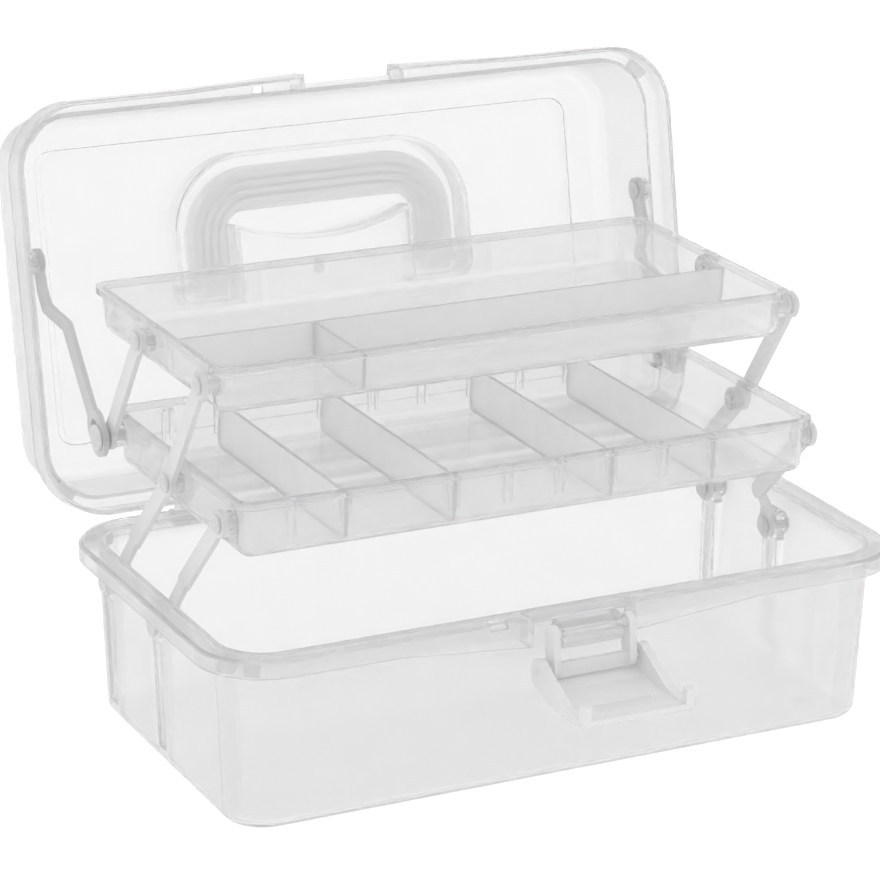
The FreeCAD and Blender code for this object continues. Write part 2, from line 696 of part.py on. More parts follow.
def make_handle():
    """Carry handle: a flat arch with rounded edges and a trunnion on each leg."""
    pivot = handle_pivot()
    low = lid_top - HANDLE_SUNK - HANDLE_THICK
    outer = straight_block(
        HANDLE_HALF, pivot.y - HANDLE_FRONT, HANDLE_OUTER_RADIUS, low, low + HANDLE_THICK, pivot.y)
    inner_half = HANDLE_HALF - HANDLE_LEG_WIDTH
    inner_reach = pivot.y - HANDLE_FRONT - HANDLE_GRIP_WIDTH
    inner = straight_block(
        inner_half, inner_reach, HANDLE_INNER_RADIUS, low - OVERCUT, low + HANDLE_THICK + OVERCUT, pivot.y)
    behind = box_between(
        (-BOX_LENGTH, BOX_LENGTH),
        (pivot.y, pivot.y + BOX_DEPTH),
        (low - OVERCUT, low + HANDLE_THICK + OVERCUT))
    arch = outer.cut(inner).cut(behind)
    long_edges = [e for e in arch.Edges if e.BoundBox.ZLength < 1e-4 and e.BoundBox.YMin < pivot.y - 1e-4]
    arch = arch.makeFillet(HANDLE_ROUND, long_edges)
    pieces = []
    for side in SIDES.values():
        leg_face = side * (HANDLE_HALF - HANDLE_ROUND)
        pieces.append(rod(pivot, HANDLE_THICK / 2, side * (inner_half + HANDLE_ROUND), leg_face))
        pieces.append(rod(pivot, TRUNNION_RADIUS, leg_face, side * (recess_half + WALL)))
    return opened(arch.fuse(pieces).removeSplitter())


def make_hinge_pins():
    """Headed hinge pins, one for each knuckle set."""
    reach = LID_KNUCKLE / 2 + SIDE_GAP + BASE_KNUCKLE
    pins = []
    for middle in (-HINGE_X, HINGE_X):
        pin = rod(hinge_point, HINGE_PIN_RADIUS, middle - reach, middle + reach)
        for side in (-1, 1):
            head = middle + side * reach
            pin = pin.fuse(rod(hinge_point, HINGE_PIN_HEAD, head, head + side * HINGE_HEAD_THICK))
        pins.append(pin)
    return Part.makeCompound(pins)


def slot_ribs(sizes, places):
    """Paired wedge ribs inside a tray's front and rear walls, one pair at each slot."""
    ribs = []
    high = sizes.rim - BEAD_HEIGHT
    wall_high = sizes.section(high, TRAY_WALL)[1]
    wall_low = sizes.section(sizes.floor, TRAY_WALL)[1]
    foot = sizes.floor + TRAY_FILLET - TRAY_WALL + RIB_FOOT_RISE
    for side in (-1, 1):
        outline = [
            (sizes.middle + side * (wall_high + TRAY_WALL / 2), high),
            (sizes.middle + side * (wall_high - RIB_REACH), high),
            (sizes.middle + side * (wall_low - RIB_FOOT), foot),
            (sizes.middle + side * (wall_low + TRAY_WALL / 2), foot),
        ]
        for place in places:
            for edge in (-1, 1):
                near = place + edge * (DIVIDER_THICK / 2 + SLOT_CLEARANCE)
                ribs.append(plate_from(outline, near, near + edge * RIB_THICK))
    return ribs


def make_tray(sizes, pivots, slots):
    """Tray: drafted walls, rolled rim, pivot bosses on its ends and divider slots."""
    shell = tapered_block(sizes.section(sizes.bottom, 0), sizes.section(sizes.rim, 0), sizes.middle)
    shell = round_edges_at(shell, sizes.bottom, TRAY_FILLET)
    bead = straight_block(
        tray_half, sizes.half_y, TRAY_RADIUS, sizes.rim - BEAD_HEIGHT, sizes.rim, sizes.middle)
    low = sizes.section(sizes.floor, TRAY_WALL)
    cavity = tapered_block(low, sizes.section(sizes.rim + OVERCUT, TRAY_WALL), sizes.middle)
    cavity = round_edges_at(cavity, sizes.floor, TRAY_FILLET - TRAY_WALL)
    bosses = []
    holes = []
    for side in SIDES.values():
        for pivot in pivots:
            inside = side * (tray_half - TRAY_RADIUS - PIN_TIP)
            bosses.append(rod(pivot, PIN_BOSS_RADIUS, inside, side * (arm_inner - SIDE_GAP)))
            holes.append(rod(pivot, PIN_RADIUS + SEAT_FIT, inside, side * arm_inner))
    tray = shell.fuse([bead] + bosses).cut(cavity)
    return tray.fuse(slot_ribs(sizes, slots)).cut(holes).removeSplitter()


def divider_space(sizes):
    """Room inside a tray for its dividers, clear of the walls by the side gap."""
    low = sizes.section(sizes.floor, TRAY_WALL + SIDE_GAP)
    high = sizes.section(sizes.rim - DIVIDER_DROP, TRAY_WALL + SIDE_GAP)
    return round_edges_at(tapered_block(low, high, sizes.middle), sizes.floor, TRAY_FILLET - TRAY_WALL)


def make_cross_divider(sizes, x, rear):
    """Divider across a tray at one X, from the front wall to a given rear end."""
    slab = box_between(
        (x - DIVIDER_THICK / 2, x + DIVIDER_THICK / 2), (sizes.front, rear), (sizes.bottom, sizes.rim))
    return slab.common(divider_space(sizes))


def long_divider_y():
    """Middle of the upper tray's lengthwise divider."""
    return upper.front + LONG_DIVIDER_FROM_FRONT


def make_long_divider():
    """Lengthwise divider of the upper tray."""
    y = long_divider_y()
    slab = box_between(
        (-tray_half, tray_half), (y - DIVIDER_THICK / 2, y + DIVIDER_THICK / 2), (upper.bottom, upper.rim))
    return slab.common(divider_space(upper))


def flat_run(start, end, width, x_from, x_to):
    """Straight strip between two points, with square ends."""
    run = end - start
    offset = Vector(0, -run.z, run.y)
    offset.normalize()
    offset = offset * (width / 2)
    corners = [start + offset, end + offset, end - offset, start - offset]
    return plate_from([(c.y, c.z) for c in corners], x_from, x_to)


def strip(start, end, width, x_from, x_to):
    """Straight strip between two points, with round ends."""
    ends = [rod(start, width / 2, x_from, x_to), rod(end, width / 2, x_from, x_to)]
    return flat_run(start, end, width, x_from, x_to).fuse(ends)


def make_arm(points, pivots, side):
    """Flat arm along a bent line, with an eye and a hole at each pivot."""
    ends = (side * arm_inner, side * arm_outer)
    arm = strip(points[0], points[1], ARM_WIDTH, *ends)
    for start, end in zip(points[1:], points[2:]):
        arm = arm.fuse(strip(start, end, ARM_WIDTH, *ends))
    arm = arm.fuse([rod(pivot, ARM_EYE, *ends) for pivot in pivots])
    return arm.cut([rod(pivot, PIN_RADIUS + RUNNING_FIT, *ends) for pivot in pivots]).removeSplitter()


def level_section(pivot, rise, x_from, x_to):
    """Level cut through an upright arm at a height above its pivot."""
    low = Vector(x_from, pivot.y - ARM_WIDTH / 2, pivot.z + rise)
    across = Vector(x_to - x_from, 0, 0)
    along = Vector(0, ARM_WIDTH, 0)
    corners = [low, low + across, low + across + along, low + along]
    return Part.makePolygon(corners + corners[:1])


def jog_end(pivot):
    """Point where an arm has come back into the trays' arm plane above its base pivot."""
    return pivot + Vector(0, 0, ARM_JOG_END)


def make_base_arm(pivots, side):
    """Arm that stands on the base: an upright foot by the wall, a jog inwards and a leaning run."""
    foot = pivots[0]
    inner = (side * arm_inner, side * arm_outer)
    outer = (side * (arm_inner + ARM_JOG), side * (arm_outer + ARM_JOG))
    upright = foot + Vector(0, 0, ARM_JOG_START)
    y = (foot.y - ARM_WIDTH / 2, foot.y + ARM_WIDTH / 2)
    sections = [level_section(foot, ARM_JOG_START, *outer), level_section(foot, ARM_JOG_END, *inner)]
    pieces = [Part.makeLoft(sections, True, True), rod(foot, ARM_EYE, *outer)]
    pieces.append(box_between(outer, y, (foot.z, upright.z)))
    run = make_arm([jog_end(foot)] + pivots[1:], pivots[1:], side)
    hole = rod(foot, PIN_RADIUS + RUNNING_FIT, *outer)
    return run.fuse(pieces).cut(hole).removeSplitter()


def square_section(point, across, x_from, x_to):
    """Cut through a leaning arm at a point, square to its run."""
    half = across * (ARM_WIDTH / 2)
    low, high = point - half, point + half
    corners = [
        Vector(x_from, low.y, low.z),
        Vector(x_to, low.y, low.z),
        Vector(x_to, high.y, high.z),
        Vector(x_from, high.y, high.z),
    ]
    return Part.makePolygon(corners + corners[:1])


def make_lid_arm(side):
    """Lid arm: a round eye on the lid's stud, a jog inwards and a slotted eye on the lower tray's rear pin."""
    ends = (side * lid_arm_inner, side * lid_arm_outer)
    outer = tuple(side * x for x in lid_eye_plane())
    elbow = lid_stud + Vector(0, -LID_ARM_ELBOW_BACK, -LID_ARM_ELBOW_DROP)
    along = lid_stud - lower_rear
    along.normalize()
    across = Vector(0, along.z, -along.y)
    middle = lower_rear + along * (SLOT_RUN / 2) + across * (SLOT_SWAY / 2)
    slot_start = middle - along * (SLOT_RUN / 2)
    slot_end = middle + along * (SLOT_RUN / 2)
    slot_width = 2 * (PIN_RADIUS + SLOT_CLEARANCE) + SLOT_SWAY
    down = slot_end - elbow
    down.normalize()
    square = Vector(0, down.z, -down.y)
    jog_from = elbow + down * LID_JOG_START
    jog_to = jog_from + down * LID_JOG_RUN
    sections = [square_section(jog_from, square, *outer), square_section(jog_to, square, *ends)]
    arm = strip(lid_stud, elbow, ARM_WIDTH, *outer).fuse(rod(lid_stud, ARM_EYE, *outer))
    arm = arm.fuse([flat_run(elbow, jog_from, ARM_WIDTH, *outer), Part.makeLoft(sections, True, True)])
    arm = arm.fuse(flat_run(jog_to, slot_end, ARM_WIDTH, *ends))
    arm = arm.fuse(strip(slot_start, slot_end, 2 * SLOT_EYE, *ends))
    arm = arm.cut(rod(lid_stud, PIN_RADIUS + RUNNING_FIT, *outer))
    return arm.cut(strip(slot_start, slot_end, slot_width, *ends)).removeSplitter()


def make_tray_pins(sizes, plain, slotted):
    """Headed pins driven through a tray's ends; the slotted ones also carry the lid arms."""
    pins = []
    for side in SIDES.values():
        for pivot in plain + slotted:
            tip = sizes.section(pivot.z, TRAY_WALL)[0] - PIN_TIP
            head = arm_outer + SIDE_GAP
            radius = PIN_HEAD_RADIUS
            collars = []
            if pivot in slotted:
                collars = [rod(pivot, radius, side * head, side * (lid_arm_inner - SIDE_GAP))]
                head = lid_arm_outer + SIDE_GAP
                radius = SLOT_HEAD_RADIUS
            pin = rod(pivot, PIN_RADIUS, side * tip, side * head)
            heads = [rod(pivot, radius, side * head, side * (head + PIN_HEAD_THICK))]
            pins.append(pin.fuse(heads + collars).removeSplitter())
    return Part.makeCompound(pins)


def make_base_pins():
    """Pins that hold the arms on the base's columns, with a head inside and outside."""
    inner = arm_inner + ARM_JOG - SIDE_GAP
    pins = []
    for side in SIDES.values():
        for pivot in (base_rear, base_front):
            outer = base_section(pivot.z, 0)[0] + OUTER_BOSS_RAISE + SEAT_FIT
            pin = rod(pivot, PIN_RADIUS, side * inner, side * outer)
            heads = [
                rod(pivot, PIN_HEAD_RADIUS, side * (inner - PIN_HEAD_THICK), side * inner),
                rod(pivot, PIN_HEAD_RADIUS, side * outer, side * (outer + PIN_HEAD_THICK)),
            ]
            pins.append(pin.fuse(heads).removeSplitter())
    return Part.makeCompound(pins)


def make_lid_pins():
    """Headed pins driven into the lid's bosses, holding the lid arms."""
    head = lid_eye_plane()[0] - SIDE_GAP
    pins = []
    for side in SIDES.values():
        pin = rod(lid_stud, PIN_RADIUS, side * head, side * (lid_pin_seat() - SIDE_GAP))
        pins.append(pin.fuse(rod(lid_stud, PIN_HEAD_RADIUS, side * (head - LID_PIN_HEAD), side * head)))
    return Part.makeCompound(pins)


def link_end():
    """Lower pivot of the latch link in the open pose."""
    tilt = math.radians(LATCH_LINK_TILT)
    return latch_pivot + Vector(0, -math.sin(tilt), -math.cos(tilt)) * LATCH_LINK_LENGTH


def make_latch_link():
    """Latch link: two arms joined by a web, with studs into the block and the lever."""
    end = link_end()
    pieces = []
    for side in SIDES.values():
        ends = (side * link_inner, side * link_outer)
        pieces.append(strip(latch_pivot, end, LATCH_LINK_WIDTH, *ends))
        block_stud = (side * (LATCH_BLOCK_HALF - WALL), side * link_inner)
        pieces.append(rod(latch_pivot, LATCH_STUD_RADIUS, *block_stud))
        pieces.append(rod(end, LATCH_STUD_RADIUS, side * link_outer, side * LEVER_HALF))
    half_web = LEVER_PLATE_THICK / 2
    web_y = (end.y - half_web, end.y + half_web)
    web_z = (end.z - LATCH_WEB_DROP, end.z + LATCH_WEB_RISE)
    web = box_between((-link_outer, link_outer), web_y, web_z)
    return web.fuse(pieces).removeSplitter()


def make_latch_lever():
    """Latch lever: bellied plate, tapering cheeks, hook nubs and ridges, drawn level then drooped."""
    pivot = link_end()

    def place(forward, up):
        return (pivot.y - forward, pivot.z + up)

    belly = [place(*point) for point in LEVER_BELLY]
    upper_face = [place(forward, up + LEVER_PLATE_THICK) for forward, up in LEVER_BELLY]
    plate = plate_from(belly + upper_face[::-1], -LEVER_HALF, LEVER_HALF)
    cheek_outline = belly + [
        place(LEVER_HOOK_TO, LEVER_HOOK_RISE),
        place(LEVER_HOOK_FROM, LEVER_HOOK_RISE),
        place(LEVER_HOOK_FROM, LEVER_WAIST),
        place(LEVER_WAIST_AT, LEVER_WAIST),
        place(0, LEVER_HEEL_RADIUS),
        place(-LEVER_HEEL_RADIUS, 0),
    ]
    pieces = []
    for side in SIDES.values():
        ends = (side * cheek_inner, side * LEVER_HALF)
        pieces.append(plate_from(cheek_outline, *ends))
        pieces.append(rod(pivot, LEVER_HEEL_RADIUS, *ends))
    back, front = LEVER_BELLY[-2:]
    slope = (front[1] - back[1]) / (front[0] - back[0])
    for index in range(GRIP_RIDGE_COUNT):
        forward = GRIP_RIDGE_FROM + index * GRIP_RIDGE_PITCH
        face = back[1] + slope * (forward - back[0]) + LEVER_PLATE_THICK
        ridge_outline = [
            place(forward - GRIP_RIDGE_PITCH / 3, face - LEVER_PLATE_THICK / 2),
            place(forward + GRIP_RIDGE_PITCH / 3, face - LEVER_PLATE_THICK / 2),
            place(forward, face + GRIP_RIDGE_HEIGHT),
        ]
        pieces.append(plate_from(ridge_outline, -GRIP_RIDGE_HALF, GRIP_RIDGE_HALF))
    hole = rod(pivot, LATCH_STUD_RADIUS + RUNNING_FIT, -LEVER_HALF - OVERCUT, LEVER_HALF + OVERCUT)
    lever = plate.fuse(pieces).cut(hole).removeSplitter()
    lever.rotate(pivot, X_AXIS, LEVER_DROOP)
    return lever


def build():
    """All nodes of the box by name."""
    slots = [slot_pitch * number for number in SLOT_NUMBERS]
    nodes = {
        "base_bin": make_base(),
        "lid_shell": make_lid(),
        "hinge_pins": make_hinge_pins(),
        "carry_handle": make_handle(),
        "latch_link": make_latch_link(),
        "latch_lever": make_latch_lever(),
        "lower_tray": make_tray(lower, [lower_front, lower_middle, lower_rear], slots),
        "upper_tray": make_tray(upper, [upper_front, upper_rear], []),
        "base_pivot_pins": make_base_pins(),
        "lower_tray_pins": make_tray_pins(lower, [lower_front, lower_middle], [lower_rear]),
        "upper_tray_pins": make_tray_pins(upper, [upper_front, upper_rear], []),
        "lid_arm_pins": make_lid_pins(),
        "upper_long_divider": make_long_divider(),
    }
    rear_end = long_divider_y() - DIVIDER_THICK / 2 - SIDE_GAP
    nodes["upper_cross_divider"] = make_cross_divider(upper, cross_divider_x, rear_end)
    for index, number in enumerate(LOWER_DIVIDER_SLOTS, start=1):
        nodes[f"lower_divider_{index}"] = make_cross_divider(lower, slot_pitch * number, lower.rear)
    for name, side in SIDES.items():
        nodes[f"long_arm_{name}"] = make_base_arm([base_rear, lower_middle, upper_front], side)
        nodes[f"front_arm_{name}"] = make_base_arm([base_front, lower_front], side)
        nodes[f"rear_arm_{name}"] = make_arm([lower_rear, upper_rear], [lower_rear, upper_rear], side)
        nodes[f"lid_arm_{name}"] = make_lid_arm(side)
    return nodes


os.makedirs("parts", exist_ok=True)
for node, shape in build().items():
    shape.exportStep(f"parts/{node}.step")
    print(node, len(shape.Solids), shape.isValid(), round(shape.Volume, 1))
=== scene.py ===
"""Looks of a see-through craft box with a hinged lid and two fold-out trays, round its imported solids."""

from __future__ import annotations

import json
import logging
import math
from dataclasses import dataclass, replace
from enum import Enum
from typing import Any, Callable, ClassVar, Iterable, Mapping, Sequence, Union

import bpy
from mathutils import Matrix, Vector

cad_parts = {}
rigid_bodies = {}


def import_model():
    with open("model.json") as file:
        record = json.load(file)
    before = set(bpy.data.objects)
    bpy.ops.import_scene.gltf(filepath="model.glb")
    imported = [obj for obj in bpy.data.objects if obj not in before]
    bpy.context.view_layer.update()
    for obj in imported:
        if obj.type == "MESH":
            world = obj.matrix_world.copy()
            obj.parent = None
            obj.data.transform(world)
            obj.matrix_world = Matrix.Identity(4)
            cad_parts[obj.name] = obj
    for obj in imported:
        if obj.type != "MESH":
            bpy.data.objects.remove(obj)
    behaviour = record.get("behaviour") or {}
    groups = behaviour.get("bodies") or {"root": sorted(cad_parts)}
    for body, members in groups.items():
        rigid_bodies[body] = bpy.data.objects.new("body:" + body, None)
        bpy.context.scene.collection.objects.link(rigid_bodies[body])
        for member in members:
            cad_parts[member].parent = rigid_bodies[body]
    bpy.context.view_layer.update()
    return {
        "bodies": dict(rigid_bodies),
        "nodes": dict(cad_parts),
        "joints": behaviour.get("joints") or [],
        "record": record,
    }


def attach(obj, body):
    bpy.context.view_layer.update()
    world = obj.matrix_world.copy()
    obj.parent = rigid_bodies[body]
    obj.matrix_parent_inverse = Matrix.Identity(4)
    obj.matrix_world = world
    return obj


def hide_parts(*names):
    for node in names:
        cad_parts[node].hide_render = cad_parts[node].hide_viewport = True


LOG = logging.getLogger("craft_box")
MM = 0.001
BODY_GREY = 0.5
PLASTIC_IOR = 1.49
FLOW_DETAIL = 2.0
GRAIN_SIZE = 0.0009
GRAIN_DETAIL = 3.0
NOISE_MEAN = 0.5
BLUE_CAST = 0.002
PLANE_BLUR = 0.5 * MM
EDGE_TURN_START = 0.3
EDGE_TURN_END = 0.6
FACING = 0.9
OPEN_ANGLE = 101.3
Colour = tuple[float, float, float]
Point = tuple[float, float, float]
Pivot = tuple[float, float]
InsetSteps = tuple[tuple[float, float], ...]
Number = Union["Reading", float]


class Side(Enum):
    """The two ends of the box, as the sign of X."""

    LEFT = -1
    RIGHT = 1


class ShadeKind(Enum):
    """What a zone of painted shade goes by."""

    PAST_PLANE = "place"
    EDGE_FACES = "normal"


class Reading:
    """A number that varies over a surface, with arithmetic that adds Math nodes."""

    def __init__(self, bench: "ShaderBench", socket: bpy.types.NodeSocket | None) -> None:
        """Keep the socket and the bench that adds nodes for it."""
        self.bench = bench
        self.socket = socket

    def _with(self, operation: str, first: Number, second: Number) -> "Reading":
        """Add one Math node for an operation on two numbers."""
        return self.bench.add("ShaderNodeMath", {"operation": operation}, {0: first, 1: second})

    def __add__(self, other: Number) -> "Reading":
        """Sum."""
        return self._with("ADD", self, other)

    __radd__ = __add__

    def __sub__(self, other: Number) -> "Reading":
        """Difference."""
        return self._with("SUBTRACT", self, other)

    def __rsub__(self, other: Number) -> "Reading":
        """Difference from a plain number."""
        return self._with("SUBTRACT", other, self)

    def __mul__(self, other: Number) -> "Reading":
        """Product."""
        return self._with("MULTIPLY", self, other)

    def __abs__(self) -> "Reading":
        """Size without sign."""
        return self._with("ABSOLUTE", self, 0.0)


class ShaderBench:
    """Adds the nodes of one material or world."""

    def __init__(self, tree: bpy.types.NodeTree) -> None:
        """Start from an empty tree."""
        self.tree = tree
        tree.nodes.clear()

    def add(
        self,
        kind: str,
        settings: Mapping[str, Any] | None = None,
        sockets: Mapping[Any, Any] | None = None,
        output: Any = 0,
    ) -> Reading:
        """Add a node, set it up and link it.

        Args:
            kind: Blender's name of the node type.
            settings: attributes of the node; "stops" gives a ramp's places and colours.
            sockets: values or readings of its inputs, by name or number.
            output: which output the returned reading is.

        Returns:
            The chosen output as a reading.
        """
        node = self.tree.nodes.new(kind)
        for name, value in (settings or {}).items():
            if name == "stops":
                self._set_stops(node, value)
            else:
                setattr(node, name, value)
        for name, value in (sockets or {}).items():
            if isinstance(value, Reading):
                self.tree.links.new(value.socket, node.inputs[name])
            else:
                node.inputs[name].default_value = value
        return Reading(self, node.outputs[output] if len(node.outputs) else None)

    @staticmethod
    def _set_stops(node: bpy.types.Node, stops: Sequence[tuple[float, Colour]]) -> None:
        """Give a ramp its places and colours."""
        ramp = node.color_ramp.elements
        while len(ramp) < len(stops):
            ramp.new(0.5)
        for element, (place, colour) in zip(ramp, stops):
            element.position = place
            element.color = (*colour, 1.0)


@dataclass(frozen=True)
class PaintedShade:
    """A zone of painted shade, where a finish is painted darker and hides more, for the dark rims and edges
    that light makes in the plastic.

    Attributes:
        kind: whether the zone lies past a plane or on the faces round a plate's edge.
        direction: the plane's direction, or the direction that the plate's broad faces look in.
        start: distance in metres, or turn from the broad faces, where the zone starts.
        end: where the zone is complete.
        darker: share of the colour that it loses.
        painted_cover: how much more of what is behind it hides.
    """

    kind: ShadeKind
    direction: Point
    start: float
    end: float
    darker: float
    painted_cover: float = 0.0

    def mask(self, bench: ShaderBench) -> Reading:
        """Mask of the painted shade zone, from 0 outside it to 1 inside."""
        by_place = self.kind is ShadeKind.PAST_PLANE
        vector = bench.add("ShaderNodeTexCoord", output="Object" if by_place else "Normal")
        pair = {0: vector, 1: self.direction}
        along = bench.add("ShaderNodeVectorMath", {"operation": "DOT_PRODUCT"}, pair, output="Value")
        measure = along if by_place else 1 - abs(along)
        limits = {"Value": measure, "From Min": self.start, "From Max": self.end}
        return bench.add("ShaderNodeMapRange", {"clamp": True}, limits)


@dataclass(frozen=True)
class MouldedPlastic:
    """A moulded plastic: clear to milky, with flow ripples, a fine grain, a wandering gloss and zones of
    painted shade.

    Attributes:
        name: material name.
        tint: grey of the plastic.
        gloss: mean roughness.
        clear: share of the light that enters the body.
        cover: share of what is behind that each face hides.
        density: how strongly the body darkens light, per metre.
        ripple: height of the flow ripples in metres.
        ripple_size: length of the flow ripples in metres.
        grain: height of the fine grain in metres.
        haze: how much the roughness wanders.
        cloud: how much darker the clouded spots are.
        patchy: how much the cover wanders.
        painted_shades: its darker zones, if it has any.
    """

    name: str
    tint: float
    gloss: float
    clear: float = 0.0
    cover: float = 0.7
    density: float = 0.0
    ripple: float = 1e-5
    ripple_size: float = 0.012
    grain: float = 6e-6
    haze: float = 0.1
    cloud: float = 0.03
    patchy: float = 0.1
    painted_shades: tuple[PaintedShade, ...] = ()

    def make(self) -> bpy.types.Material:
        """Make the material with its nodes."""
        material = bpy.data.materials.new(self.name)
        material.use_nodes = True
        bench = ShaderBench(material.node_tree)
        place = bench.add("ShaderNodeTexCoord", output="Object")
        flow = self._noise(bench, place, 1 / self.ripple_size, FLOW_DETAIL)
        speck = self._noise(bench, place, 1 / GRAIN_SIZE, GRAIN_DETAIL)
        cloud_and_painted_shade = flow * self.cloud
        cover = self.cover + (flow - NOISE_MEAN) * self.patchy
        gloss = self.gloss + (flow - NOISE_MEAN) * self.haze + (speck - NOISE_MEAN) * self.haze
        # Painted shade: each zone paints the colour darker and hides more of what is behind it, for the dark
        # rims and edges that light makes in the plastic.
        for shade in self.painted_shades:
            mask = shade.mask(bench)
            cloud_and_painted_shade = cloud_and_painted_shade + mask * shade.darker
            cover = cover + mask * shade.painted_cover
        black = (0.0, 0.0, 0.0, 1.0)
        pale = (self.tint, self.tint, self.tint + BLUE_CAST, 1.0)
        height = flow * (self.ripple / MM) + speck * (self.grain / MM)
        bump = bench.add("ShaderNodeBump", None, {"Strength": 1.0, "Distance": MM, "Height": height})
        colour = bench.add("ShaderNodeMix", {"data_type": "RGBA"}, {0: cloud_and_painted_shade, 6: pale, 7: black}, output=2)
        surface = bench.add(
            "ShaderNodeBsdfPrincipled",
            None,
            {
                "Base Color": colour,
                "Roughness": gloss,
                "Alpha": cover,
                "Normal": bump,
                "IOR": PLASTIC_IOR,
                "Transmission Weight": self.clear,
            },
        )
        outputs = {"Surface": surface}
        if self.density:
            grey = (BODY_GREY, BODY_GREY, BODY_GREY, 1.0)
            body = {"Color": grey, "Density": self.density / (1 - BODY_GREY)}
            outputs["Volume"] = bench.add("ShaderNodeVolumeAbsorption", None, body)
        bench.add("ShaderNodeOutputMaterial", None, outputs)
        return material

    @staticmethod
    def _noise(bench: ShaderBench, place: Reading, scale: float, detail: float) -> Reading:
        """Smooth noise of a given scale."""
        return bench.add("ShaderNodeTexNoise", None, {"Vector": place, "Scale": scale, "Detail": detail})


LID_UP: Point = (0.0, math.sin(math.radians(OPEN_ANGLE)), math.cos(math.radians(OPEN_ANGLE)))
LID_DOWN: Point = (0.0, -LID_UP[1], -LID_UP[2])
UP = (0.0, 0.0, 1.0)
ALONG = (1.0, 0.0, 0.0)
DEEP = (0.0, 1.0, 0.0)


def past(direction: Point, start: float, darker: float) -> PaintedShade:
    """Painted shade of all that lies past a plane, half a millimetre after its start in metres."""
    return PaintedShade(ShadeKind.PAST_PLANE, direction, start, start + PLANE_BLUR, darker)


def edges(broad: Point, darker: float, painted_cover: float) -> PaintedShade:
    """Painted shade on a plate's edges, from the direction that its broad faces look in."""
    return PaintedShade(ShadeKind.EDGE_FACES, broad, EDGE_TURN_START, EDGE_TURN_END, darker, painted_cover)


# Painted shade: the base's band at its rim, the lid's bands at its rim and at its lip's end, and the trays'
# bands at their rims darken these clear shells; the dividers' and arms' edges are painted darker too.
SHELL = MouldedPlastic(
    "clear_base", tint=0.95, gloss=0.15, clear=0.82, cover=0.85, density=5.0, ripple=4e-6, ripple_size=0.02,
    grain=2e-6, haze=0.05, cloud=0.01, patchy=0.04, painted_shades=(past(UP, 0.0722, 0.06),))
LID_SHELL = replace(
    SHELL, name="clear_lid", painted_shades=(past(LID_DOWN, -0.1010, 0.03), past(LID_DOWN, -0.0867, 0.15)))
LOWER_TRAY = replace(
    SHELL, name="clear_lower_tray", tint=0.96, gloss=0.05, ripple=2e-6, haze=0.03,
    painted_shades=(past(UP, 0.1293, 0.1),))
UPPER_TRAY = replace(LOWER_TRAY, name="clear_upper_tray", painted_shades=(past(UP, 0.1808, 0.1),))
CROSS_DIVIDER = MouldedPlastic(
    "frosted_cross_divider", tint=0.97, gloss=0.45, cover=0.59, painted_shades=(edges(ALONG, 0.35, 0.2),))
LONG_DIVIDER = replace(
    CROSS_DIVIDER, name="frosted_long_divider", tint=0.9, cover=0.64, painted_shades=(edges(DEEP, 0.35, 0.2),))
UPPER_DIVIDER = replace(CROSS_DIVIDER, name="frosted_upper_divider", tint=0.87, cover=0.64)
ARM = MouldedPlastic("frosted_arm", tint=0.88, gloss=0.42, cover=0.7, painted_shades=(edges(ALONG, 0.15, 0.1),))
LID_ARM = replace(ARM, name="frosted_lid_arm", tint=0.74)
GRIP = MouldedPlastic("frosted_handle", tint=0.97, gloss=0.42, cover=0.5)
LATCH = MouldedPlastic("frosted_latch", tint=0.88, gloss=0.38, cover=0.75)
RIM_BLOCK = MouldedPlastic("frosted_rim_block", tint=0.82, gloss=0.35, cover=0.5)
RIVET = MouldedPlastic(
    "frosted_rivet", tint=0.82, gloss=0.32, cover=0.75, ripple=8e-6, ripple_size=0.008, grain=4e-6, haze=0.08)


